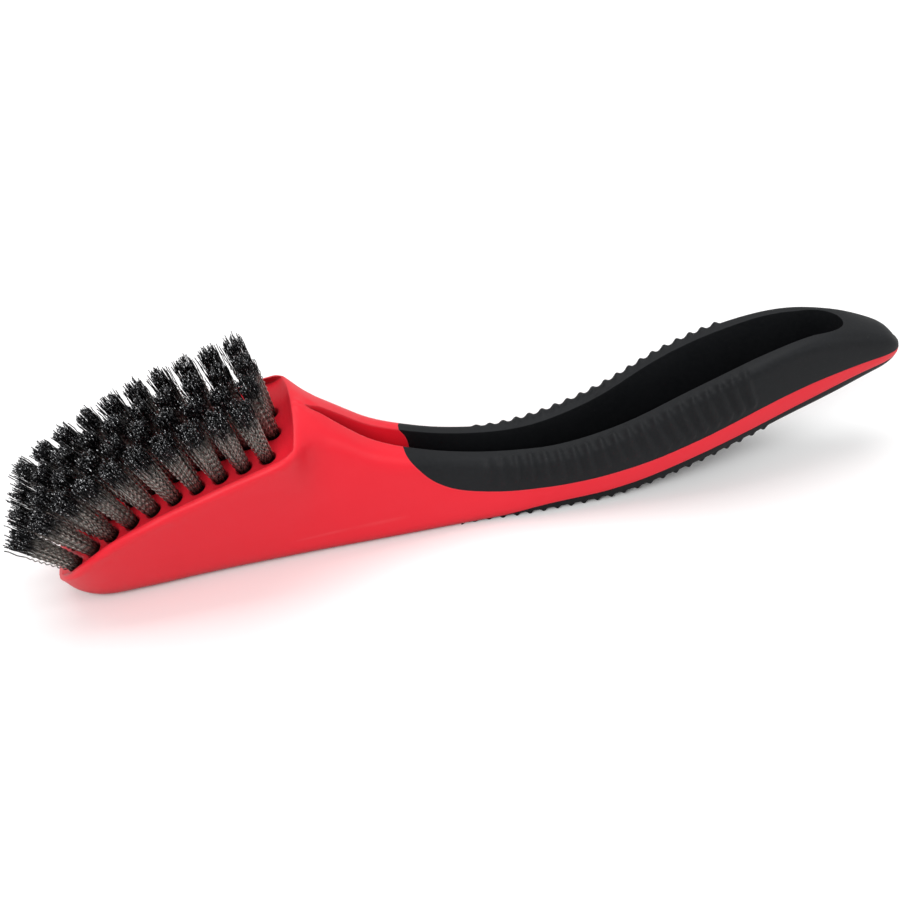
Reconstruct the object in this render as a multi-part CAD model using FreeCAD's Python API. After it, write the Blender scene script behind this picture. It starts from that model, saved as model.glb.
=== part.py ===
import FreeCAD, Part
import math
import os

# ---------------------------------------------------------------------------
# Club groove brush: moulded red core, soft black grip, forty steel wire tufts.
# Units are millimetres. The stations below run from the nose of the head
# (x = 0) to the tail; everything is shifted at the end so that the origin is
# the centre of the flat underside land, +X towards the tail, +Z to the
# bristle side, and the brush is mirror-symmetric about y = 0.
# ---------------------------------------------------------------------------
os.makedirs("parts", exist_ok=True)
V = FreeCAD.Vector

LENGTH = 213.7            # nose to tail
X_ORIGIN = 55.0           # station of the land centre

# bristle pad
ROW_Y = (-11.7, -3.9, 3.9, 11.7)
COLS = 10
PITCH_OUTER = 5.95        # along the pad, outer rows
PITCH_INNER = 6.22         # inner rows run a little closer to the shoulder
PAD_X0 = 6.9              # station of the first column
TUFT_LEN = 18.3           # free length of the wires
TUFT_R_BASE = 1.55
TUFT_R_TIP = 2.9
HOLE_R = 1.6
HOLE_DEPTH = 6.5
MOUTH_R = 2.15            # flared mouth of each hole
MOUTH_DEPTH = 0.9
TUFT_LEAN = (42.4, 36.6, 31.7, 27.8, 23.9, 20.4, 17.4, 14.9, 13.4, 12.4)
TUFT_SPLAY = (4.0, 1.3)   # outer and inner rows, degrees
POCKET_RIM = 1.9          # rim left round the sunk pad
POCKET_X = (2.4, 66.0)
SCOOP = (58.2, 5.4)       # start station and radius of the scooped step wall

# grip
GRIP_WALL = 1.2           # overmould on the outer sides
LINING_WALL = 0.9         # overmould inside the thumb recess
GRIP_CAP = 1.5            # overmould on the rim
RIB_COUNT = 20            # rounded ribs on each side
RIB_X = (107.4, 170.2)    # stations of the first and last rib at the rim
RIB_HALF = 1.6            # half width of one rib
RIB_PROUD = 0.76
RIB_LIP = (1.5, 2.7)      # plain lip between the recess and the ribs
TOOTH_COUNT = 24          # rounded teeth across the underside strip
TOOTH_X = (99.0, 177.0)
TOOTH_HALF = 1.05
TOOTH_PROUD = 0.62
RELIEF_STEP = 0.42        # station step of the ribbed skin

# side profile: top line and underside
TOP = [(0, 7), (2.5, 10.7), (6.3, 15.4), (10.3, 19.5), (15, 22.8), (22.9, 26.5),
       (32.1, 29.8), (40.4, 32.3), (47.6, 34.3), (54.5, 36.1), (59.2, 37), (62.5, 37.7),
       (64.5, 37.4), (66.5, 36.7), (68.8, 35.7), (70.8, 34.5), (74.8, 31.6),
       (78.9, 28.2), (83.2, 25.6), (87.8, 23.6), (91.6, 22.2), (96.4, 20.5),
       (101.2, 19.2), (106, 18.1), (111, 17.2), (116, 16.7), (121, 16.5), (126, 16.9),
       (131, 17.8), (136, 19), (141, 20.7), (145.6, 22.7), (150.5, 25.04),
       (155.4, 27.23), (160.4, 29.13), (165.3, 30.82), (170.4, 32.38), (175.5, 33.78),
       (180.7, 34.88), (186, 35.58), (191, 35.58), (197, 34.78), (203, 32.82),
       (208, 30.43), (212, 28.39), (215, 26.79)]
BOT = [(0, 4.2), (1.2, 3.2), (3, 2.1), (5.5, 1.0), (9, 0.1), (13, -0.3), (20, -0.3), (60, -0.3),
       (100, -0.3), (128, -0.2), (134, 0.0), (140, 0.6), (145, 1.5), (150, 2.9),
       (155.5, 4.6), (160.7, 6.2), (166, 8.0), (171, 9.6), (176, 11.1), (181, 12.7),
       (186, 13.9), (191, 15.2), (196, 16.5), (201, 18.0), (206, 19.5), (211, 21.0),
       (215, 22.3)]
# half widths: top edge, widest level, underside; and corner radii
HT = [(0, 19.3), (20, 19.7), (35, 19.4), (45, 19), (54, 18.6), (58, 18.3), (61, 17.5),
      (62.6, 16.2), (64.5, 13.2), (67, 10.8), (70, 9.5), (74, 9.2), (78, 9.4),
      (84, 9.2), (90, 8.4), (96, 7.9), (104, 7.9), (112, 8.3), (118, 9.2), (124, 10.2),
      (130, 10.9), (138, 11.5), (146, 11.9), (156, 12.36), (164, 12.35), (171, 11.85),
      (178, 10.95), (187, 9.55), (197, 7.95), (204, 6.59), (210, 5.48), (215, 4.78)]
HM = [(0, 14.8), (15, 15.6), (40, 15.4), (50, 15), (57, 14.3), (62, 13.3), (68, 12),
      (76, 11), (84, 10.4), (92, 10), (100, 9.9), (110, 10.1), (118, 10.5), (126, 11.1),
      (136, 11.8), (146, 12.3), (156, 12.75), (164, 12.72), (171, 12.2), (178, 11.2),
      (187, 9.9), (197, 8.3), (204, 6.95), (210, 5.86), (215, 5.16)]
HB = [(0, 9.4), (14, 9.7), (22, 9.8), (32, 9.3), (45, 9), (60, 9.1), (80, 9.5),
      (100, 9.7), (120, 10.2), (135, 10.4), (150, 10.43), (160, 10.37), (170, 9.8),
      (178, 8.9), (187, 7.7), (197, 6.2), (204, 4.99), (210, 4.02), (215, 3.32)]
MFRAC = [(0, 0.55), (40, 0.62), (60, 0.6), (72, 0.55), (85, 0.48), (100, 0.45), (215, 0.5)]
RT = [(0, 1.6), (50, 1.8), (58, 1.4), (63, 1.4), (67, 3.0), (74, 4.6), (82, 4.4),
      (90, 2.8), (98, 2.2), (110, 2.0), (185, 2.2), (200, 3.2), (208, 3.0), (215, 2.4)]
RB = [(0, 1.2), (6, 2.4), (20, 3.2), (60, 3.2), (110, 3.0), (170, 3.0), (200, 2.6),
      (210, 2.2), (215, 1.6)]
CROWN = [(0, 0.3), (50, 0.4), (56, 0.8), (60, 2.6), (63, 3.6), (66, 3.3), (70, 2.1),
         (74, 1.1), (80, 0.7), (84, 0.6), (96, 0.2), (190, 0.2), (204, 0.8), (210, 0.9),
         (215, 0.8)]

# floor of the sunk bristle pad
PAD = [(-4, 4.6), (2, 10.0), (6.4, 13.9), (11.7, 17.6), (16.8, 20.8), (22, 23.4),
       (26.8, 25.6), (32.5, 27.9), (38.7, 30.1), (44.7, 31.9), (50.4, 33.5), (54, 34.5),
       (57, 35.2), (62, 36.3), (70, 38.0)]

# thumb recess: half width at the rim and floor height
RECESS_W = [(66.6, 0.35), (68.2, 0.9), (70.8, 1.6), (74.8, 2.35), (79, 2.8), (83, 3.13),
            (87.8, 3.37), (96, 3.55), (106, 3.83), (115, 4.16), (121, 4.72),
            (126, 5.27), (131, 5.75), (136, 6.23), (141, 6.79), (145.6, 7.42),
            (150.5, 7.9), (156, 8.17), (162, 8.23), (167, 8.04), (171, 7.7),
            (175.5, 7.36), (181, 6.9), (186, 6.07), (190.5, 5.3), (199.6, 3.71)]
RECESS_END = (189.6, 198.8)
RECESS_FLOOR = [(66.6, 38.9), (68.2, 36.4), (70.8, 31.5), (74.8, 26.0), (79, 21.5),
                (84, 17.0), (90, 13.0), (97, 9.6), (105, 7.4), (115, 6.2), (130, 6.2),
                (140, 7.2), (150, 9.6), (160, 13.0), (170, 16.4), (180, 20.0),
                (188, 23.0), (194, 25.8), (199.6, 29.0)]

# side-view line between the black grip and the red stripe, and the line
# between the stripe and the black underside strip
GRIP_LINE = [(86.6, 27.0), (87.7, 23.9), (88.7, 22.4), (90.4, 20.0), (92.4, 17.2),
             (95.0, 14.7), (99.4, 12.1), (104.2, 10.5), (109, 9.4), (114, 8.75),
             (119, 8.55), (124, 8.55), (129, 8.85), (134, 9.35), (139.5, 10.25),
             (145, 11.35), (150, 12.7), (155, 14.35), (160, 16.0), (165, 17.8),
             (170, 19.5), (175, 21.0), (180, 22.3), (185, 23.4), (190, 24.3),
             (195, 24.9), (200, 25.3), (205, 25.5), (210, 25.5), (218, 25.3)]
STRIP_LINE = [(96.0, -1.2), (97.5, -0.4), (100, 0.25), (106, 0.8), (110, 1.25),
              (114, 1.95), (118.5, 2.7), (124, 3.25), (134, 3.9), (139.5, 4.7),
              (145, 5.8), (150, 7.2), (155, 8.8), (160, 10.35), (165, 12.0),
              (170, 13.5), (175, 14.9), (180, 16.3), (185, 17.7), (190, 19.0),
              (195, 20.3), (200, 21.5), (205, 22.4), (210, 23.1), (218, 23.8)]


def pchip(tab):
    """Monotone cubic through a table; linear beyond its ends."""
    xs = [float(p[0]) for p in tab]
    ys = [float(p[1]) for p in tab]
    n = len(xs)
    h = [xs[i + 1] - xs[i] for i in range(n - 1)]
    s = [(ys[i + 1] - ys[i]) / h[i] for i in range(n - 1)]
    d = [0.0] * n
    for i in range(1, n - 1):
        if s[i - 1] * s[i] > 0:
            w1 = 2 * h[i] + h[i - 1]
            w2 = h[i] + 2 * h[i - 1]
            d[i] = (w1 + w2) / (w1 / s[i - 1] + w2 / s[i])
    d[0], d[-1] = s[0], s[-1]

    def f(x):
        if x <= xs[0]:
            return ys[0] + d[0] * (x - xs[0])
        if x >= xs[-1]:
            return ys[-1] + d[-1] * (x - xs[-1])
        lo, hi = 0, n - 1
        while hi - lo > 1:
            m = (lo + hi) // 2
            if xs[m] <= x:
                lo = m
            else:
                hi = m
        t = (x - xs[lo]) / h[lo]
        t2, t3 = t * t, t * t * t
        return ((2 * t3 - 3 * t2 + 1) * ys[lo] + (t3 - 2 * t2 + t) * h[lo] * d[lo]
                + (-2 * t3 + 3 * t2) * ys[lo + 1] + (t3 - t2) * h[lo] * d[lo + 1])
    return f


TAPS = [(k / 4.0, math.exp(-0.5 * (k / 4.0) ** 2)) for k in range(-8, 9)]
TAPSUM = sum(w for _, w in TAPS)


def fair(tab, sigma):
    """Table curve blended with a narrow bell so that it stays fair."""
    f = pchip(tab)
    g = sigma if callable(sigma) else (lambda x: sigma)
    memo = {}

    def q(x):
        k = round(x, 4)
        if k not in memo:
            s = g(x)
            memo[k] = sum(w * f(x + u * s) for u, w in TAPS) / TAPSUM
        return memo[k]
    return q


def ramp(x, a, b):
    t = min(1.0, max(0.0, (x - a) / (b - a)))
    return t * t * (3 - 2 * t)


def top_sigma(x):
    return 0.8 + 2.4 * ramp(x, 72, 92) + 0.8 * (1 - ramp(x, 44, 56)) - 0.9 * (1 - ramp(x, 4, 12))


top = fair(TOP, top_sigma)
bot = fair(BOT, lambda x: 0.5 + 2.5 * ramp(x, 10, 30))
ht_ = fair(HT, lambda x: 2.2 - 1.3 * ramp(x, 50, 58) * (1 - ramp(x, 70, 80)))
hm_ = fair(HM, 3.0)
hb_ = fair(HB, 3.0)
mf_ = fair(MFRAC, 3.0)
rt_ = fair(RT, 1.6)
rb_ = fair(RB, 2.0)
cr_ = fair(CROWN, 1.8)
rw_ = fair(RECESS_W, lambda x: 0.3 + 1.9 * ramp(x, 68, 84) * (1 - ramp(x, 180, 188)))
rf_ = fair(RECESS_FLOOR, lambda x: 0.3 + 2.0 * ramp(x, 68, 80))
grip_line = pchip(GRIP_LINE)
strip_line = fair(STRIP_LINE, 0.8)


def plan(x):
    """Plan-view rounding of nose and tail (1 in between)."""
    k = 1.0
    if x < 15.0:
        k = max(0.0, 1 - (1 - x / 15.0) ** 2.3) ** (1 / 2.3)
    if x > LENGTH - 9.0:
        u = (x - (LENGTH - 9.0)) / 9.0
        k = max(0.0, 1 - u ** 3.0) ** (1 / 3.0)
    return max(k, 0.3)


def zspan(x):
    """Side-view rounding of nose and tail."""
    zb, zt = bot(x), top(x)
    if x < 3.0:
        u = 1 - x / 3.0
        k = math.sqrt(max(0.0, 1 - u ** 2.2))
        c = 0.42 * zt + 0.58 * zb + 0.2
        zb, zt = c + (zb - c) * max(k, 0.45), c + (zt - c) * max(k, 0.45)
    if x > LENGTH - 6.0:
        u = (x - (LENGTH - 6.0)) / 6.0
        k = math.sqrt(max(0.0, 1 - u ** 3.2))
        c = 0.5 * (zt + zb)
        zb, zt = c + (zb - c) * max(k, 0.45), c + (zt - c) * max(k, 0.45)
    return zb, zt


def bez(a, b, c, n):
    out = []
    for i in range(n):
        t = i / (n - 1.0)
        out.append(((1 - t) ** 2 * a[0] + 2 * t * (1 - t) * b[0] + t * t * c[0],
                    (1 - t) ** 2 * a[1] + 2 * t * (1 - t) * b[1] + t * t * c[1]))
    return out


def toward(p, q, d):
    l = math.hypot(q[0] - p[0], q[1] - p[1])
    k = min(d / l, 0.46) if l > 1e-9 else 0
    return (p[0] + (q[0] - p[0]) * k, p[1] + (q[1] - p[1]) * k)


def half_section(x, inset=0.0, cap=0.0, grow=0.0, lift=0.0):
    """Right half of the outer section from underside centre to top centre."""
    k = plan(x)
    zb, zt = zspan(x)
    zb += lift - grow
    zt += grow - cap
    zt = max(zt, zb + 0.3)
    ht = max(0.25, ht_(x) * k - inset + grow)
    hm = max(0.28, hm_(x) * k - inset + grow)
    hb = max(0.20, hb_(x) * k - inset + grow)
    zm = zb + (zt - zb) * mf_(x)
    hh = zt - zb
    rt = min(rt_(x), 0.42 * hh, 0.8 * ht)
    rb = min(rb_(x), 0.42 * hh, 0.8 * hb)
    cr = cr_(x) * k * min(1.0, hh / 6.0)
    A, M, T, C = (hb, zb), (hm, zm), (ht, zt), (0.0, zt + cr)
    # the soft crown is a parabola joined to the top corner
    s = toward(A, (0, zb), rb * 1.25)
    e = toward(A, M, rb * 1.25)
    pts = [(s[0] * i / 4.0, zb) for i in range(4)]
    pts += bez(s, A, e, 6)
    m1 = toward(M, A, 0.30 * hh)
    m2 = toward(M, T, 0.30 * hh)
    pts += [((e[0] + m1[0]) / 2, (e[1] + m1[1]) / 2)]
    pts += bez(m1, M, m2, 5)
    t1 = toward(T, M, rt * 1.25)
    t2 = toward(T, C, rt * 1.25)
    pts += [((t1[0] + m2[0]) / 2, (t1[1] + m2[1]) / 2)]
    pts += bez(t1, T, t2, 7)
    for i in range(1, 6):
        u = i / 5.0
        y = t2[0] * (1 - u)
        zc = t2[1] + (zt + cr * 0.8 - t2[1]) * (1 - (y / max(t2[0], 1e-6)) ** 2)
        pts.append((y, zc))
    return pts


def cumulative(h):
    acc = [0.0]
    for (y0, z0), (y1, z1) in zip(h[:-1], h[1:]):
        acc.append(acc[-1] + math.hypot(y1 - y0, z1 - z0))
    return acc


def spacing():
    """Shared arc-length fractions, denser where the corners usually lie."""
    n = len(half_section(100.0))
    f = [0.0] * n
    xs = [8 + 5 * i for i in range(39)]
    for x in xs:
        acc = cumulative(half_section(x))
        f = [p + q / acc[-1] / len(xs) for p, q in zip(f, acc)]
    return [0.75 * p + 0.25 * i / (n - 1.0) for i, p in enumerate(f)]


FRACTIONS = spacing()


def row(x, **kw):
    """Half section resampled at the shared fractions."""
    h = half_section(x, **kw)
    # a smooth dense copy of the outline
    c = Part.BSplineCurve()
    c.interpolate([V(x, y, z) for y, z in h])
    dense = [(p.y, p.z) for p in c.discretize(700)]
    acc = cumulative(dense)
    out, j = [], 0
    for f in FRACTIONS:
        t = f * acc[-1]
        while j < len(acc) - 2 and acc[j + 1] < t:
            j += 1
        k = (t - acc[j]) / max(1e-12, acc[j + 1] - acc[j])
        out.append(V(x, dense[j][0] + (dense[j + 1][0] - dense[j][0]) * k,
                     dense[j][1] + (dense[j + 1][1] - dense[j][1]) * k))
    out[0] = V(x, 0.0, h[0][1])
    out[-1] = V(x, 0.0, h[-1][1])
    return out


def skin(rows):
    """Mirror-symmetric solid from open half sections, flat at both ends."""
    surf = Part.BSplineSurface()
    surf.interpolate(rows)
    right = surf.toShape()
    left = right.mirror(V(0, 0, 0), V(0, 1, 0))
    faces = [right, left]
    for u in surf.bounds()[:2]:
        c = surf.uIso(u).toShape()
        m = c.mirror(V(0, 0, 0), V(0, 1, 0))
        faces.append(Part.Face(Part.Wire(Part.__sortEdges__([c, m]))))
    sh = Part.makeShell(faces)
    sh.sewShape()
    solid = Part.Solid(sh)
    if solid.Volume < 0:
        solid.reverse()
    return solid


def stations(a, b, step, fine_a, fine_b, nfine=9):
    """Stations with cosine clustering at both ends."""
    xs = [a + fine_a * (1 - math.cos(0.5 * math.pi * i / nfine)) for i in range(nfine)]
    x = a + fine_a
    n = max(2, int(round((b - fine_b - x) / step)))
    xs += [x + (b - fine_b - x) * i / n for i in range(n)]
    xs += [b - fine_b * (1 - math.sin(0.5 * math.pi * i / nfine)) for i in range(nfine + 1)]
    return xs


def body(**kw):
    xs = stations(0.45, LENGTH, 100.0, 10.0, 9.0, 7)
    mid = [13.5, 18, 23, 28, 33, 38, 43, 48, 52, 55, 57.5, 59.5, 61.2, 62.8, 64.4,
           66, 67.6, 69.4, 71.4, 73.6, 76, 79, 82.5, 86.5, 91, 96, 101, 106, 111,
           116, 121, 126, 131, 136, 141, 146, 151, 156, 161, 166, 171, 176, 181,
           186, 191, 196, 201]
    xs = [x for x in xs if x <= 10.5 or x >= LENGTH - 9.01] + mid
    return skin([row(x, **kw) for x in sorted(xs)])


def recess(grow=0.0):
    """Open recess volume; grow enlarges it to make room for the lining."""
    xe = RECESS_END[0]
    we = rw_(xe) + grow
    n = 26
    wall = [(66.6 + (xe - 66.6) * i / n, 0.0) for i in range(n + 1)]
    wall = [(x, rw_(x) + grow) for x, _ in wall]
    c = Part.BSplineCurve()
    c.interpolate([V(x, y, 0) for x, y in wall])
    g = c.tangent(c.LastParameter)[0]
    ell = RECESS_END[1] + grow - xe
    end = Part.BSplineCurve()
    pts = []
    for i in range(9):
        t = math.pi * i / 8.0
        cy, sx = math.cos(t), math.sin(t)
        y = math.copysign(abs(cy) ** 0.9, cy) * we
        pts.append(V(xe + ell * abs(sx) ** 0.95, y, 0))
    end.interpolate(pts)
    a = c.toShape()
    m = a.mirror(V(0, 0, 0), V(0, 1, 0))
    w0 = wall[0][1]
    tip = Part.Arc(V(66.6, -w0, 0), V(66.6 - w0, 0, 0), V(66.6, w0, 0)).toShape()
    wire = Part.Wire(Part.__sortEdges__([a, end.toShape(), m, tip]))
    prism = Part.Face(wire).extrude(V(0, 0, 70))
    floor = [(60.0, rf_(66.0) + 30.0)] + [(x, rf_(x) - grow) for x in
             [66.0 + 3.0 * i for i in range(46)]]
    return prism.common(side_prism(floor[1:], 69.0))


def side_prism(line, z_far, half=40.0):
    """Side-view region between a curve and a far level, extruded across."""
    c = Part.BSplineCurve()
    c.interpolate([V(x, -half, z) for x, z in line])
    a, b = line[0], line[-1]
    e = [c.toShape(),
         Part.makeLine(V(b[0], -half, b[1]), V(b[0], -half, z_far)),
         Part.makeLine(V(b[0], -half, z_far), V(a[0], -half, z_far)),
         Part.makeLine(V(a[0], -half, z_far), V(a[0], -half, a[1]))]
    return Part.Face(Part.Wire(e)).extrude(V(0, 2 * half, 0))


def samples(f, a, b, step):
    n = int(round((b - a) / step))
    return [(a + (b - a) * i / n, f(a + (b - a) * i / n)) for i in range(n + 1)]


# --- bristle pad ----------------------------------------------------------
pad_floor = fair(PAD, 1.6)


def pocket_floor(x):
    """Pad floor running up into the scooped step wall of the shoulder."""
    x0, r = SCOOP
    z = pad_floor(x)
    if x > x0:
        u = min(x - x0, 0.96 * r)
        z += r - math.sqrt(r * r - u * u)
        z += max(0.0, x - x0 - u) * 3.4
    return z


def pad_pocket():
    xs = [POCKET_X[0] - 4.4 + 2.4 * i for i in range(25)]
    xs += [56.4 + 0.8 * i for i in range(15)]
    slab = side_prism([(x, pocket_floor(x)) for x in sorted(xs) if x < 68.0], 75.0, 30.0)
    x0, x1 = POCKET_X
    n = 30
    pts = []
    for i in range(n + 1):
        x = x0 + (x1 - x0) * (i / float(n)) ** 1.35
        pts.append((x, ht_(x) * plan(x) - POCKET_RIM))
    edges = []
    for s in (-1, 1):
        c = Part.BSplineCurve()
        c.interpolate([V(x, s * y, 0) for x, y in pts])
        edges.append(c.toShape())
    (xa, ya), (xb, yb) = pts[0], pts[-1]
    nose = Part.Arc(V(xa, -ya, 0), V(xa - 0.9, 0, 0), V(xa, ya, 0)).toShape()
    edges += [nose, Part.makeLine(V(xb, -yb, 0), V(xb, yb, 0))]
    prism = Part.Face(Part.Wire(Part.__sortEdges__(edges))).extrude(V(0, 0, 80))
    return slab.common(prism)


def arc_walk(x, ds):
    while ds > 1e-6:
        h = min(0.05, ds)
        g = (pad_floor(x + 0.02) - pad_floor(x)) / 0.02
        x += h / math.sqrt(1 + g * g)
        ds -= h
    return x


def tuft_sites():
    out = []
    for r, y in enumerate(ROW_Y):
        outer = r in (0, 3)
        pitch = PITCH_OUTER if outer else PITCH_INNER
        x = PAD_X0 if outer else PAD_X0 - 0.3
        for c in range(COLS):
            lean = math.radians(TUFT_LEAN[c])
            sp = math.radians(TUFT_SPLAY[0] if outer else TUFT_SPLAY[1])
            sp = sp if y > 0 else -sp
            d = V(-math.sin(lean) * math.cos(sp), math.sin(sp), math.cos(lean) * math.cos(sp))
            d.normalize()
            out.append((r + 1, c + 1, V(x, y, pad_floor(x)), d))
            x = arc_walk(x, pitch)
    return out


def along(shape, p, d, spin=0.0):
    """Place a shape built on +Z at p with its axis along d."""
    s = shape.copy()
    s.Placement = FreeCAD.Placement(p, FreeCAD.Rotation(V(0, 0, 1), d).multiply(
        FreeCAD.Rotation(V(0, 0, 1), spin)))
    return s


def tuft_shape():
    """Wire bundle: straight root in its hole, flaring above the pad."""
    r0, r1, h = TUFT_R_BASE, TUFT_R_TIP, TUFT_LEN
    c = Part.BSplineCurve()
    c.interpolate([V(r0, 0, 0), V(r0 + 0.33 * (r1 - r0), 0, h * 0.30),
                   V(r0 + 0.76 * (r1 - r0), 0, h * 0.72), V(r1, 0, h - 0.7)])
    top_arc = Part.BSplineCurve()
    top_arc.interpolate([V(r1, 0, h - 0.7), V(r1 * 0.86, 0, h - 0.25), V(r1 * 0.45, 0, h - 0.03),
                         V(0, 0, h)])
    root = -HOLE_DEPTH + 0.25
    wire = Part.Wire([Part.makeLine(V(0, 0, root), V(r0 - 0.35, 0, root)),
                      Part.makeLine(V(r0 - 0.35, 0, root), V(r0, 0, root + 0.35)),
                      Part.makeLine(V(r0, 0, root + 0.35), V(r0, 0, 0)),
                      c.toShape(), top_arc.toShape(),
                      Part.makeLine(V(0, 0, h), V(0, 0, root))])
    solid = Part.Face(wire).revolve(V(0, 0, 0), V(0, 0, 1), 360)
    slot = Part.makeBox(0.5, 4.0, 2.1, V(-0.25, -2.0, root + 0.75))
    return solid.cut(slot)


def anchor_shape():
    root = -HOLE_DEPTH + 0.25
    return Part.makeBox(0.44, 2.7, 1.9, V(-0.22, -1.35, root + 0.85))


def slope(f, x):
    return (f(x + 2.0) - f(x - 2.0)) / 4.0


def crests(f, x_range, count):
    """Stations spaced equally along a side-view line."""
    n, total, prev, pts = 400, 0.0, None, []
    for i in range(n + 1):
        x = x_range[0] + (x_range[1] - x_range[0]) * i / n
        p = (x, f(x))
        if prev:
            total += math.hypot(p[0] - prev[0], p[1] - prev[1])
        pts.append((total, x))
        prev = p
    return [next(q for w, q in pts if w >= total * k / (count - 1) - 1e-9)
            for k in range(count)]


RIBS = crests(top, RIB_X, RIB_COUNT)
TEETH = crests(bot, TOOTH_X, TOOTH_COUNT)


def crest(x, places, g, half, power):
    """Height 0..1 of a row of rounded crests at a station on a sloping line."""
    d = min(abs(x - p) for p in places) * math.sqrt(1 + g * g)
    return math.cos(0.5 * math.pi * d / half) ** power if d < half else 0.0


def relief(x, y, z):
    """Outward rise of the grip surface at a point of the side view."""
    rise = 0.0
    zb, zt = bot(x), top(x)
    if 96.0 < x < 190.0:
        # foot of the point on the rim line
        x0 = x
        for _ in range(6):
            g = slope(top, x0)
            x0 = x - g * (top(x0) - z)
        g = slope(top, x0)
        room = z - grip_line(x) - 1.7
        w = ramp(y - rw_(x), RIB_LIP[0], RIB_LIP[1]) * ramp(room, 0.0, 1.8)
        w *= 0.45 + 0.55 * ramp(x0, RIB_X[0] - 3.0, RIB_X[0] + 12.0)
        if w > 0:
            rise += RIB_PROUD * w * crest(x0, RIBS, g, RIB_HALF, 2.4)
        lim = max(0.9, min(2.2, strip_line(x) - zb - 0.1))
        w = 1 - ramp(z - zb, 0.35 * lim, lim)
        if w > 0:
            rise += TOOTH_PROUD * w * crest(x, TEETH, slope(bot, x), TOOTH_HALF, 2.0)
    return rise


def relief_row(x):
    pts = row(x)
    out = []
    for i, p in enumerate(pts):
        r = relief(p.x, p.y, p.z)
        a, b = pts[max(0, i - 1)], pts[min(len(pts) - 1, i + 1)]
        ty, tz = b.y - a.y, b.z - a.z
        l = math.hypot(ty, tz)
        ny, nz = tz / l, -ty / l
        if i in (0, len(pts) - 1):
            ny, nz = 0.0, (-1.0 if i == 0 else 1.0)
        out.append(V(x, p.y + ny * r, p.z + nz * r) if r else p)
    return out


def grip_body():
    """Tail part of the outer shape with the ribs and teeth of the soft grip."""
    xs = [82.0, 85.0, 88.0, 91.0, 94.0, 96.5]
    x = 97.4
    while x < 180.0:
        xs.append(x)
        x += RELIEF_STEP
    xs += [181.5, 184, 187, 191, 196, 201]
    xs += [q for q in stations(0.03, LENGTH, 100.0, 10.0, 9.0, 7) if q >= LENGTH - 9.01]
    return skin([relief_row(q) for q in sorted(xs)])


def main():
    shift = V(-X_ORIGIN, 0, 0)

    def put(name, shape):
        s = shape.copy()
        s.translate(shift)
        s.exportStep("parts/%s.step" % name)

    def note(label, shape):
        print("%-14s solids %d valid %s volume %.1f" % (
            label, len(shape.Solids), shape.isValid(), shape.Volume), flush=True)

    under = Part.makeBox(400, 80, 20, V(-50, -40, -20))
    outer = body().cut(under)
    note("outer", outer)
    ribbed = grip_body().cut(under)
    note("ribbed", ribbed)
    inner = body(inset=GRIP_WALL, cap=GRIP_CAP, lift=1.0)
    rec = recess(0.0)
    rec_wide = recess(LINING_WALL)
    note("recess", rec)
    note("lined recess", rec_wide)

    upper = side_prism(GRIP_LINE, 60.0)
    tongue_line = [(x - 0.9, z - 1.4) for x, z in GRIP_LINE]
    tongue = inner.common(side_prism(tongue_line, 55.0))
    note("tongue", tongue)
    lining_zone = side_prism([(x, z - 40.0 * ramp(x, 88.5, 93.0)) for x, z in
                              [(86.6, 27.0), (87.7, 23.9), (88.7, 22.4), (89.6, 21.4), (90.6, 20.2),
                               (92.0, 18.6), (94.0, 16.2), (97.0, 14.0), (140, 10), (218, 10)]], 60.0)
    lid = side_prism(samples(lambda x: top(x) + cr_(x) * 0.8 - 0.75, 60.0, 218.0, 2.0), 69.5)
    lining = rec_wide.common(lining_zone).cut(lid)
    note("lining", lining)
    lower = side_prism(samples(strip_line, 96.0, 218.0, 3.0), -25.0)

    # black overmould: a skin round the red tongue, closed over the rim and
    # carried down inside the recess
    grip = ribbed.common(upper).cut(tongue)
    note("grip skin", grip)
    grip = grip.fuse(lining).cut(rec)
    note("grip", grip)
    strip = ribbed.common(lower)
    note("strip", strip)
    core = outer.cut(upper).cut(lower)
    note("core base", core)
    core = core.fuse(tongue)
    note("core+tongue", core)
    core = core.cut(rec).cut(lining)
    note("core recess", core)
    core = core.cut(pad_pocket())
    note("core pocket", core)

    sites = tuft_sites()
    hole = Part.makeCylinder(HOLE_R, HOLE_DEPTH + 4.0, V(0, 0, -HOLE_DEPTH))
    flare = MOUTH_R - HOLE_R
    mouth = Part.makeCone(HOLE_R - 0.02, MOUTH_R + 1.5 * flare / MOUTH_DEPTH, MOUTH_DEPTH + 1.5,
                          V(0, 0, -MOUTH_DEPTH))
    core = core.cut([along(q, p, d) for q in (hole, mouth) for _, _, p, d in sites])
    note("core holes", core)

    core = max(core.Solids, key=lambda q: q.Volume)
    grip = max(grip.Solids, key=lambda q: q.Volume)
    strip = max(strip.Solids, key=lambda q: q.Volume)
    put("handle_core", core)
    put("grip_upper", grip)
    put("grip_underside", strip)
    tuft, anchor = tuft_shape(), anchor_shape()
    anchors = []
    for r, c, p, d in sites:
        put("tuft_r%d_c%02d" % (r, c), along(tuft, p, d, 90.0))
        anchors.append(along(anchor, p, d, 90.0))
    put("tuft_anchors", Part.makeCompound(anchors))


main()
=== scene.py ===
"""Wire brush with a red plastic handle, black grips and crimped steel tufts.

The handle runs along X and the tufts point up (+Z) from the pad. The floor is z = 0.
Lengths are in metres unless a comment says otherwise.
"""
import math
from functools import cached_property

import bpy
import numpy as np
from mathutils import Matrix, Vector


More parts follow.
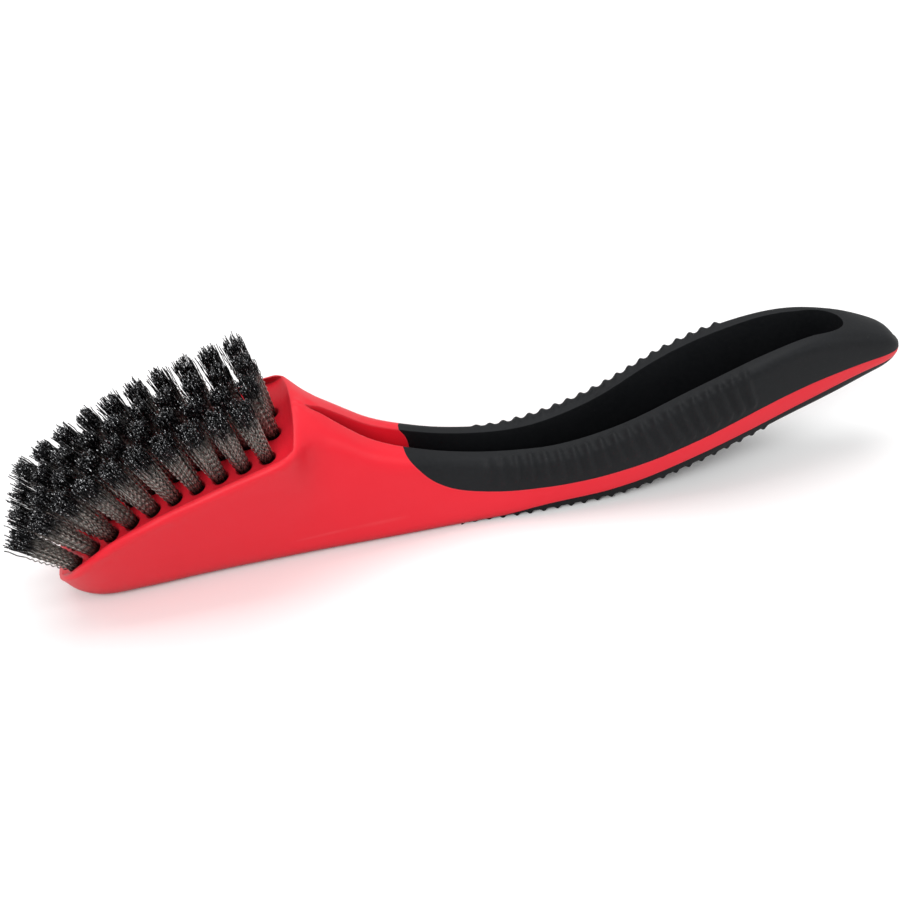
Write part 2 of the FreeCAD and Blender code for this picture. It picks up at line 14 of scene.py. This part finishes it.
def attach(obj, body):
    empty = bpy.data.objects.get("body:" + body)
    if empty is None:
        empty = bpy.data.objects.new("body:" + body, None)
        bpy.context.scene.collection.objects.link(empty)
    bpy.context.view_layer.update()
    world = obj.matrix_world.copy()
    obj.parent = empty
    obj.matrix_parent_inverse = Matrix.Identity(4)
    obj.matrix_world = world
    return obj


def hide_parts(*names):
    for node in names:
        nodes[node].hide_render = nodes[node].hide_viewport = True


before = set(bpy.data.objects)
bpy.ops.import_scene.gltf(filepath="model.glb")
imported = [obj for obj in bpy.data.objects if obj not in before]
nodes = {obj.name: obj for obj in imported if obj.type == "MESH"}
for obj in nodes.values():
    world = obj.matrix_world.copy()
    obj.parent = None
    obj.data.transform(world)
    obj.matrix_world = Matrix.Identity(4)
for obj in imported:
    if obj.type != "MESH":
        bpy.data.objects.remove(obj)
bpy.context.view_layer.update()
scene = bpy.context.scene

MM = 0.001


# ---------------------------------------------------------------------------
# node material builder
# ---------------------------------------------------------------------------
class Shader:
    """A Principled material under construction; methods return output sockets."""

    def __init__(self, name):
        self.material = bpy.data.materials.new(name)
        self.material.use_nodes = True
        self.tree = self.material.node_tree
        self.tree.nodes.clear()
        output = self.node("ShaderNodeOutputMaterial")
        self.principled = self.node("ShaderNodeBsdfPrincipled")
        self.feed(output.inputs[0], self.principled.outputs[0])

    def node(self, kind, inputs=None, **settings):
        node = self.tree.nodes.new(kind)
        for key, value in settings.items():
            setattr(node, key, value)
        for key, value in (inputs or {}).items():
            self.feed(node.inputs[key], value)
        return node

    def feed(self, socket, value):
        """Link a socket, or store a constant; colours are given as RGB."""
        if isinstance(value, bpy.types.NodeSocket):
            self.tree.links.new(value, socket)
        elif socket.type == "RGBA":
            socket.default_value = (*value, 1.0)
        else:
            socket.default_value = value

    @cached_property
    def coords(self):
        return self.node("ShaderNodeTexCoord").outputs["Object"]

    def stretched(self, x, y, z):
        inputs = {"Vector": self.coords, "Scale": (x, y, z)}
        return self.node("ShaderNodeMapping", inputs).outputs[0]

    def noise(self, scale, detail=3.0, rough=0.55, vector=None, distort=0.0):
        inputs = {"Vector": vector or self.coords, "Scale": scale, "Detail": detail,
                  "Roughness": rough, "Distortion": distort}
        return self.node("ShaderNodeTexNoise", inputs).outputs[0]

    def cells(self, scale):
        inputs = {"Vector": self.coords, "Scale": scale}
        return self.node("ShaderNodeTexVoronoi", inputs, feature="F1").outputs["Distance"]

    def ramp(self, value, span=(0.3, 0.7), to=(0.0, 1.0)):
        """Map span to another range, clamped; the default span suits a noise."""
        inputs = {"Value": value, "From Min": span[0], "From Max": span[1],
                  "To Min": to[0], "To Max": to[1]}
        return self.node("ShaderNodeMapRange", inputs).outputs[0]

    def math(self, operation, first, second, clamp=False):
        return self.node("ShaderNodeMath", {0: first, 1: second},
                         operation=operation, use_clamp=clamp).outputs[0]

    def times(self, value, by, clamp=False):
        return self.math("MULTIPLY", value, by, clamp)

    def plus(self, value, extra):
        return self.math("ADD", value, extra)

    def minus(self, value, less):
        return self.math("SUBTRACT", value, less)

    def mix(self, amount, under, over):
        return self.node("ShaderNodeMix", {0: amount, 6: under, 7: over},
                         data_type="RGBA", blend_type="MIX").outputs[2]

    def bump(self, height, strength, distance, normal=None):
        inputs = {"Strength": strength, "Distance": distance, "Height": height}
        if normal is not None:
            inputs["Normal"] = normal
        return self.node("ShaderNodeBump", inputs).outputs[0]

    def edge_mask(self, radius, gain):
        """1 on sharp edges, 0 on flats, with a soft border; and the softened normal."""
        soft = self.node("ShaderNodeBevel", {"Radius": radius}, samples=4).outputs[0]
        sharp = self.node("ShaderNodeNewGeometry").outputs["Normal"]
        dot = self.node("ShaderNodeVectorMath", {0: soft, 1: sharp}, operation="DOT_PRODUCT")
        turned = self.minus(1.0, dot.outputs["Value"])
        return self.times(turned, by=gain, clamp=True), soft

    def occlusion(self, distance):
        return self.node("ShaderNodeAmbientOcclusion", {"Distance": distance},
                         samples=6).outputs["AO"]

    def attribute(self, name):
        return self.node("ShaderNodeAttribute", attribute_name=name).outputs["Fac"]

    def finish(self, inputs):
        """Feed the Principled inputs, by socket name, and return the material."""
        for key, value in inputs.items():
            self.feed(self.principled.inputs[key], value)
        return self.material


# ---------------------------------------------------------------------------
# materials
# ---------------------------------------------------------------------------
def red_plastic():
    mat = Shader("red_plastic")
    edge, soft = mat.edge_mask(radius=0.0007, gain=5.0)
    # slow drift of the pigment, streaked along the handle by the melt flow
    drift = mat.noise(scale=14.0, detail=3.0, rough=0.5)
    flow = mat.noise(scale=26.0, detail=4.0, rough=0.6,
                     vector=mat.stretched(x=0.35, y=1.6, z=1.6), distort=0.6)
    color = mat.mix(mat.ramp(drift), under=(0.800, 0.011, 0.026), over=(0.860, 0.018, 0.036))
    color = mat.mix(mat.ramp(flow, span=(0.42, 0.72), to=(0.0, 0.35)),
                    color, over=(0.890, 0.028, 0.048))
    # handling: faint dull patches and a few fine scuffs
    dull = mat.ramp(mat.noise(scale=48.0, detail=5.0, rough=0.65), span=(0.55, 0.75))
    scratches = mat.noise(scale=160.0, detail=2.0, rough=0.5,
                          vector=mat.stretched(x=0.08, y=1.0, z=1.3))
    scuff = mat.ramp(scratches, span=(0.66, 0.72))
    scuff = mat.times(scuff, by=mat.ramp(mat.noise(scale=30.0), span=(0.5, 0.62)))
    # painted highlight: the sharp edges are lightened (the scuffs follow)
    color = mat.mix(mat.times(edge, by=0.35), color, over=(0.930, 0.090, 0.110))
    color = mat.mix(mat.times(scuff, by=0.22), color, over=(0.90, 0.16, 0.17))
    # painted shade between the tufts and under the step: occluded spots are darkened towards a
    # near-black red
    unoccluded = mat.ramp(mat.occlusion(distance=0.007), span=(0.25, 0.75), to=(0.50, 1.0))
    color = mat.mix(unoccluded, under=(0.10, 0.004, 0.008), over=color)
    rough = mat.plus(mat.ramp(drift, to=(0.36, 0.43)), mat.times(dull, by=0.08))
    rough = mat.plus(rough, mat.times(scuff, by=0.15))
    # fine spark-eroded mould grain with a little orange peel under it
    grain = mat.noise(scale=4200.0, detail=2.0, rough=0.5)
    peel = mat.noise(scale=420.0, detail=2.0, rough=0.4)
    sink = mat.noise(scale=60.0, detail=2.0, rough=0.4)
    normal = mat.bump(sink, strength=0.25, distance=0.00012, normal=soft)
    normal = mat.bump(peel, strength=0.28, distance=0.00004, normal=normal)
    normal = mat.bump(grain, strength=0.30, distance=0.000012, normal=normal)
    return mat.finish({
        "Base Color": color, "Roughness": rough, "Normal": normal, "IOR": 1.49,
        "Subsurface Weight": 0.06, "Subsurface Scale": 0.0012,
        "Subsurface Radius": (1.0, 0.12, 0.10), "Specular IOR Level": 0.30})


def black_rubber():
    mat = Shader("black_rubber")
    edge, soft = mat.edge_mask(radius=0.00025, gain=5.0)
    cloud = mat.noise(scale=34.0, detail=4.0, rough=0.6)
    fine = mat.noise(scale=900.0, detail=3.0, rough=0.6)
    color = mat.mix(mat.ramp(cloud), under=(0.0070, 0.0078, 0.0090),
                    over=(0.0115, 0.0125, 0.0142))
    color = mat.mix(mat.ramp(fine, span=(0.35, 0.75), to=(0.0, 0.5)),
                    color, over=(0.0165, 0.0175, 0.0195))
    # painted highlight: the crests and edges are lightened, and a little less rough further
    # down; dust specks grey the surface a little
    color = mat.mix(mat.times(edge, by=0.4), color, over=(0.030, 0.032, 0.035))
    specks = mat.noise(scale=2600.0, detail=2.0, rough=0.5)
    dust = mat.ramp(specks, span=(0.68, 0.74))
    dusty = mat.ramp(mat.noise(scale=22.0), span=(0.45, 0.7), to=(0.0, 0.22))
    color = mat.mix(mat.times(dust, by=dusty), color, over=(0.10, 0.10, 0.10))
    rough = mat.plus(mat.ramp(cloud, to=(0.50, 0.60)), mat.ramp(fine, to=(-0.04, 0.05)))
    rough = mat.minus(rough, mat.times(edge, by=0.08))
    # painted shade between the ribs and deep in the recess: occluded spots are darkened towards
    # black, and their specular is weakened too
    groove = mat.ramp(mat.occlusion(distance=0.0013), span=(0.60, 0.96), to=(0.15, 1.0))
    deep = mat.ramp(mat.occlusion(distance=0.020), span=(0.20, 0.75), to=(0.45, 1.0))
    shade = mat.times(groove, by=deep)
    color = mat.mix(shade, under=(0.0022, 0.0020, 0.0022), over=color)
    pore = mat.cells(scale=2400.0)
    swell = mat.noise(scale=180.0, detail=2.0)
    normal = mat.bump(swell, strength=0.20, distance=0.00006, normal=soft)
    normal = mat.bump(pore, strength=0.32, distance=0.00002, normal=normal)
    grain = mat.noise(scale=5200.0, detail=1.0)
    normal = mat.bump(grain, strength=0.25, distance=0.000010, normal=normal)
    return mat.finish({"Base Color": color, "Roughness": rough, "Normal": normal,
                       "IOR": 1.40, "Specular IOR Level": mat.times(shade, by=0.26)})


def wire_steel():
    """Dark tempered steel wire with painted light and shade: painted lighter and brownish
    near the pad, painted darker towards the tips, bright where it was sheared."""
    mat = Shader("wire_steel")
    rise, tone, cut, bead = map(mat.attribute, ("rise", "tone", "cut", "bead"))
    # painted light near the pad and painted shade towards the tips; each wire's tone is random
    painted_lit_color = mat.mix(tone, under=(0.200, 0.186, 0.168), over=(0.570, 0.540, 0.495))
    tips = mat.mix(tone, under=(0.004, 0.004, 0.005), over=(0.026, 0.027, 0.029))
    root = mat.mix(tone, under=(0.030, 0.022, 0.019), over=(0.070, 0.056, 0.048))
    patch = mat.noise(scale=700.0, detail=2.0, rough=0.5)
    ragged_rise = mat.plus(rise, mat.ramp(patch, to=(-0.09, 0.09)))
    # painted highlight and shade: the crests of the crimp are lightened and its hollows
    # darkened
    painted_lit_color = mat.mix(mat.ramp(bead, span=(0.40, 0.90)),
                   under=mat.mix(0.45, painted_lit_color, over=(0.03, 0.025, 0.022)),
                   over=mat.mix(0.50, painted_lit_color, over=(1.0, 0.96, 0.90)))
    # painted shade: the upper part of the wires takes the dark tip colour
    shaded_upper = mat.ramp(ragged_rise, span=(0.50, 0.72))
    color = mat.mix(shaded_upper, painted_lit_color, tips)
    # painted glints: small bright spots scattered over the dark upper part
    painted_glint = mat.ramp(mat.noise(scale=2900.0, detail=1.0, rough=0.4), span=(0.640, 0.685))
    painted_glint = mat.times(painted_glint, by=shaded_upper)
    color = mat.mix(mat.times(painted_glint, by=0.95), color, over=(0.88, 0.89, 0.91))
    # painted shade: the wires are darker at the root, in the hole and just above the pad
    color = mat.mix(mat.ramp(rise, span=(0.16, 0.02)), color, root)
    brown = mat.ramp(mat.noise(scale=1800.0, detail=2.0), span=(0.62, 0.74), to=(0.0, 0.5))
    color = mat.mix(brown, color, over=(0.10, 0.055, 0.035))
    # only the lighter wires show a bright sheared end
    shear = mat.times(cut, by=mat.ramp(tone, span=(0.60, 0.75), to=(0.05, 0.8)))
    color = mat.mix(shear, color, over=(0.74, 0.74, 0.76))
    rough = mat.plus(mat.ramp(tone, span=(0.0, 1.0), to=(0.27, 0.44)),
                     mat.ramp(patch, to=(-0.05, 0.07)))
    drawn = mat.noise(scale=2600.0, detail=2.0, rough=0.5)
    return mat.finish({
        "Base Color": color, "Roughness": rough,
        "Normal": mat.bump(drawn, strength=0.25, distance=0.00001),
        "Metallic": mat.ramp(cut, span=(0.0, 1.0), to=(0.88, 0.95))})


def anchor_steel():
    mat = Shader("anchor_steel")
    brush = mat.noise(scale=900.0, detail=3.0, rough=0.6,
                      vector=mat.stretched(x=0.2, y=3.0, z=3.0))
    color = mat.mix(mat.ramp(brush), under=(0.36, 0.34, 0.31), over=(0.55, 0.53, 0.50))
    brown = mat.ramp(mat.noise(scale=600.0), span=(0.6, 0.75), to=(0.0, 0.4))
    color = mat.mix(brown, color, over=(0.22, 0.12, 0.07))
    return mat.finish({
        "Base Color": color, "Roughness": mat.ramp(brush, to=(0.30, 0.46)),
        "Metallic": 0.95, "Normal": mat.bump(brush, strength=0.3, distance=0.00002)})


def floor_white():
    """Pure white to the camera, light grey to the bounced light."""
    mat = Shader("stage_floor")
    seen = mat.node("ShaderNodeLightPath").outputs["Is Camera Ray"]
    color = mat.mix(seen, under=(0.68, 0.68, 0.68), over=(1.0, 1.0, 1.0))
    return mat.finish({"Base Color": color, "Roughness": 0.85, "Specular IOR Level": 0.1})


def assign(obj, material):
    """Every face of the object takes one material."""
    if not obj.material_slots:
        obj.data.materials.append(material)
    for slot in obj.material_slots:
        slot.material = material


RED, BLACK, WIRE, ANCHOR = red_plastic(), black_rubber(), wire_steel(), anchor_steel()
for part, material in (("handle_core", RED), ("grip_upper", BLACK),
                       ("grip_underside", BLACK), ("tuft_anchors", ANCHOR)):
    assign(nodes[part], material)


# ---------------------------------------------------------------------------
# wire tufts: each one is a bundle of crimped wires folded round its anchor
#
# A tuft has its own axes: a and b across it, z along it from the pad surface.
# Each wire has a leg on the +b side and one on the -b side.
# ---------------------------------------------------------------------------
ROOT_DEPTH = 6.25 * MM      # root of a tuft below the pad
FOLD_Z = -5.42 * MM         # where the bend under the anchor starts
FOLDS = 50                  # folded wires in one tuft, two ends each
WIRE_RADIUS = 0.125 * MM
SIDES = 4
BEND_RINGS = 5
TOP_RINGS = 6
FIRST_SEED = 4100
# across the tuft, in mm
SPREAD_RADIUS = 1.36        # disc over which the wires are laid out
HOLE_RADIUS = 1.40
MOUTH_FLARE = 0.27          # share by which the bundle widens at the pad
CRIMP_LENGTH = 1.55         # one wave of the crimp
CRIMP_SWING = 0.185


def solid_axis(obj):
    """Centre of volume, upward long axis and its extent, for a closed mesh."""
    mesh = obj.data
    mesh.calc_loop_triangles()
    points = np.empty(len(mesh.vertices) * 3)
    mesh.vertices.foreach_get("co", points)
    points = points.reshape(-1, 3)
    corners = np.empty(len(mesh.loop_triangles) * 3, np.int64)
    mesh.loop_triangles.foreach_get("vertices", corners)
    origin = points.mean(0)
    p, q, r = (points[column] - origin for column in corners.reshape(-1, 3).T)
    # tetrahedra from the origin to each triangle
    volume = np.einsum("ij,ij->i", p, np.cross(q, r)) / 6.0
    total = p + q + r
    centre = (volume[:, None] * total / 4.0).sum(0) / volume.sum()
    second = sum(np.einsum("i,ij,ik->jk", volume, arm, arm) for arm in (p, q, r, total)) / 20.0
    second /= volume.sum()
    second -= np.outer(centre, centre)
    axis = np.linalg.eigh(second)[1][:, -1]
    if axis[2] < 0:
        axis = -axis
    centre = centre + origin
    height = (points - centre) @ axis
    return centre, axis, height.min(), height.max()


def smooth(value, start, end):
    """Smooth step from 0 at start to 1 at end."""
    t = np.clip((value - start) / (end - start), 0.0, 1.0)
    return t * t * (3 - 2 * t)


def fold_places():
    """(a, b) of each wire, in mm: the +b half of a sunflower spiral."""
    golden = math.pi * (3 - math.sqrt(5))
    steps = FOLDS * 2 + 2
    places = []
    for k in range(steps):
        radius = SPREAD_RADIUS * math.sqrt((k + 0.5) / steps)
        a, b = radius * math.cos(k * golden), radius * math.sin(k * golden)
        if b > 0.0:
            places.append((a, b))
    return places[:FOLDS]


def wire_leg(place, side, heights, length, phase, rng):
    """Points of one leg from the anchor up, and its crimp wave from 0 to 1."""
    root = np.array([place[0] + rng.normal(scale=0.05),
                     side * (place[1] + abs(rng.normal(scale=0.04)))])
    radius = math.hypot(*root)
    if radius > HOLE_RADIUS:
        root = root * HOLE_RADIUS / radius
    # the tips fan out, and some wires stray
    fan = 1.98 + rng.normal(scale=0.16)
    stray = 0.72 if rng.random() < 0.15 else 0.26
    tip = root * fan + rng.normal(scale=stray, size=2)
    # share of the full length reached; some wires are shorter
    reach = 0.955 + rng.normal(scale=0.030)
    if rng.random() < 0.3:
        reach -= 0.09 * rng.random()
    reach = min(reach, 1.02)
    # crown: outer wires stop a touch lower than the middle ones
    reach -= 0.014 * (radius / HOLE_RADIUS) ** 2
    z = heights.copy()
    z[-TOP_RINGS:] *= reach
    z_mm = z / MM
    t = np.clip(z / length, 0, None)
    # the bundle opens as it leaves the flared mouth of its hole
    mouth = MOUTH_FLARE * smooth(z_mm, start=-1.0, end=1.0)
    bow = rng.normal(scale=0.22, size=2)
    across = (np.outer(1 + mouth, root)
              + np.outer(t ** 0.92, tip - (1 + MOUTH_FLARE) * root)
              + np.outer(np.sin(np.pi * np.clip(t, 0, 1)), bow) * 0.6)
    # inside the hole the two legs part round the anchor
    part = smooth(-z_mm, start=1.0, end=3.4)
    across[:, 1] += part * side * (0.38 - 0.20 * abs(root[1]))
    # crimp, fading in above the pad and halving towards the tip
    wavelength = CRIMP_LENGTH * MM * (1 + rng.normal(scale=0.03))
    shift = phase + rng.normal(scale=1.0)
    turn = rng.random() * math.pi
    swing = CRIMP_SWING * (1 + rng.normal(scale=0.15)) * smooth(z_mm, start=0.0, end=1.0)
    swing = swing * (1 - 0.5 * smooth(t, start=0.5, end=0.8))
    wave = np.sin(2 * math.pi * z / wavelength + shift)
    across += np.outer(swing * wave, (math.cos(turn), math.sin(turn)))
    return np.column_stack([across * MM, z]), 0.5 + 0.5 * wave


def join_legs(first, second):
    """Centre line of a whole wire: down one leg, under the anchor, up the other."""
    (a1, b1), (a2, b2) = first[0, :2], second[0, :2]
    angle = np.linspace(0, math.pi, BEND_RINGS + 2)[1:-1]
    middle, half = (b1 + b2) / 2, (b1 - b2) / 2
    drop = min(max(half * 0.9, 0.3 * MM), 0.75 * MM)
    bend = np.column_stack([np.linspace(a1, a2, BEND_RINGS), middle + half * np.cos(angle),
                            FOLD_Z - drop * np.sin(angle)])
    return np.vstack([first[::-1], (a1, b1, FOLD_Z), bend, (a2, b2, FOLD_Z), second])


def tube_points(path, side_axis, radius):
    tangent = np.gradient(path, axis=0)
    tangent /= np.linalg.norm(tangent, axis=1)[:, None]
    normal = np.cross(tangent, side_axis)
    normal /= np.linalg.norm(normal, axis=1)[:, None]
    binormal = np.cross(normal, tangent)
    angle = (np.arange(SIDES) * 2 * math.pi / SIDES + math.pi / 4)[None, :, None]
    rings = path[:, None, :] + radius * (np.cos(angle) * normal[:, None, :]
                                         + np.sin(angle) * binormal[:, None, :])
    return rings.reshape(-1, 3)


def tube_faces(ring_count):
    """Side quads, then the two end caps."""
    ring = np.arange(ring_count - 1)[:, None] * SIDES
    here = np.arange(SIDES)[None, :]
    after = (here + 1) % SIDES
    quads = np.stack([ring + here, ring + after, ring + SIDES + after, ring + SIDES + here], -1)
    end = (ring_count - 1) * SIDES
    return np.concatenate([quads.reshape(-1, 4),
                           [[3, 2, 1, 0], [end, end + 1, end + 2, end + 3]]])


def wire_object(name, verts, faces, attributes):
    mesh = bpy.data.meshes.new(name)
    mesh.vertices.add(len(verts))
    mesh.vertices.foreach_set("co", verts.astype(np.float32).ravel())
    mesh.loops.add(faces.size)
    mesh.loops.foreach_set("vertex_index", faces.astype(np.int32).ravel())
    mesh.polygons.add(len(faces))
    mesh.polygons.foreach_set("loop_start", np.arange(len(faces), dtype=np.int32) * 4)
    mesh.polygons.foreach_set("use_smooth", np.ones(len(faces), bool))
    mesh.update(calc_edges=True)
    for key, values, domain in attributes:
        layer = mesh.attributes.new(key, "FLOAT", domain)
        layer.data.foreach_set("value", values.astype(np.float32))
    mesh.validate()
    mesh.materials.append(WIRE)
    obj = bpy.data.objects.new(name, mesh)
    scene.collection.objects.link(obj)
    return obj


def build_tuft(name, envelope, seed):
    """Wires filling the plain solid that marks the tuft."""
    centre, axis, low, high = solid_axis(envelope)
    length = high - low - ROOT_DEPTH
    base = centre + axis * (low + ROOT_DEPTH)
    a_axis = np.array([1.0, 0.0, 0.0])
    a_axis = a_axis - axis * (a_axis @ axis)
    a_axis /= np.linalg.norm(a_axis)
    b_axis = np.cross(axis, a_axis)
    rng = np.random.default_rng(seed)
    phase = rng.random() * 2 * math.pi
    # heights of the rings of one leg, in the hole, over the crimp and at the top
    heights = np.concatenate([np.array([-3.6, -2.4, -1.2, -0.3]) * MM,
                              np.linspace(0.35, 11.0, 27) * MM,
                              np.linspace(12.6, length / MM, TOP_RINGS) * MM])
    rings = 2 * len(heights) + BEND_RINGS + 2
    verts, rises, tones, beads = [], [], [], []
    for place in fold_places():
        tone = rng.random()
        (first, wave1), (second, wave2) = (
            wire_leg(place, side, heights, length, phase, rng) for side in (1.0, -1.0))
        line = join_legs(first, second)
        a, b, z = line.T
        path = base + np.outer(a, a_axis) + np.outer(b, b_axis) + np.outer(z, axis)
        radius = WIRE_RADIUS * (0.94 + 0.12 * rng.random())
        verts.append(tube_points(path, a_axis, radius))
        rises.append(np.clip(z / length, -1, 1.1))
        tones.append(np.full(rings, tone))
        beads.append(np.concatenate([wave1[::-1], np.full(BEND_RINGS + 2, 0.5), wave2]))
    one = tube_faces(rings)
    count = len(verts)
    faces = np.concatenate([one + i * rings * SIDES for i in range(count)])
    cuts = np.tile(np.append(np.zeros(len(one) - 2), [1.0, 1.0]), count)
    attributes = [(key, np.repeat(np.concatenate(values), SIDES), "POINT")
                  for key, values in (("rise", rises), ("tone", tones), ("bead", beads))]
    attributes.append(("cut", cuts, "FACE"))
    return wire_object(name, np.concatenate(verts), faces, attributes)


for i, tuft in enumerate(sorted(n for n in nodes if n.startswith("tuft_r"))):
    piece = build_tuft("wires" + tuft.removeprefix("tuft"), nodes[tuft], FIRST_SEED + i)
    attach(piece, "root")
    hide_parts(tuft)


# ---------------------------------------------------------------------------
# floor, light, camera
# ---------------------------------------------------------------------------
def stage_floor(half):
    material = floor_white()
    mesh = bpy.data.meshes.new("stage_floor")
    corners = [(-half, -half, 0), (half, -half, 0), (half, half, 0), (-half, half, 0)]
    mesh.from_pydata(corners, [], [(0, 1, 2, 3)])
    mesh.materials.append(material)
    floor = bpy.data.objects.new("stage_floor", mesh)
    scene.collection.objects.link(floor)


def studio_world(strength):
    world = bpy.data.worlds.new("studio")
    world.use_nodes = True
    background = world.node_tree.nodes["Background"]
    background.inputs["Color"].default_value = (1.0, 1.0, 1.0, 1.0)
    background.inputs["Strength"].default_value = strength
    scene.world = world


def softbox(name, place, target, size, watts):
    light = bpy.data.lights.new(name, "AREA")
    light.shape = "RECTANGLE"
    light.size, light.size_y = size
    light.energy = watts
    obj = bpy.data.objects.new(name, light)
    obj.location = place
    obj.rotation_mode = "QUATERNION"
    obj.rotation_quaternion = (Vector(target) - Vector(place)).to_track_quat("-Z", "Y")
    scene.collection.objects.link(obj)


def add_camera(place, right, back, lens):
    """right and back are the camera's own +X and +Z; right is squared to back."""
    data = bpy.data.cameras.new("camera")
    data.sensor_width = 36.0
    data.lens = lens
    data.clip_start, data.clip_end = 0.01, 20.0
    camera = bpy.data.objects.new("camera", data)
    right, back = Vector(right).normalized(), Vector(back).normalized()
    right = (right - back * right.dot(back)).normalized()
    pose = Matrix((right, back.cross(right), back)).transposed().to_4x4()
    pose.translation = place
    camera.matrix_world = pose
    scene.collection.objects.link(camera)
    scene.camera = camera


stage_floor(half=6.0)
studio_world(strength=0.55)
softbox("key", place=(-0.45, -0.80, 0.95), target=(0.03, 0.0, 0.02), size=(0.8, 0.6), watts=7.8)
softbox("fill", place=(0.95, -0.45, 0.70), target=(0.05, 0.0, 0.02), size=(0.7, 0.7), watts=2.0)
softbox("top", place=(0.05, 0.35, 1.10), target=(0.05, 0.0, 0.02), size=(1.1, 0.7), watts=6.4)

scene.view_settings.view_transform = "Standard"
scene.view_settings.look = "None"
scene.view_settings.exposure = 0.0

add_camera(place=(0.0151, -0.2653, 0.2359), right=(0.9785, -0.184, -0.093),
           back=(-0.0844, -0.7691, 0.6335), lens=56.0)
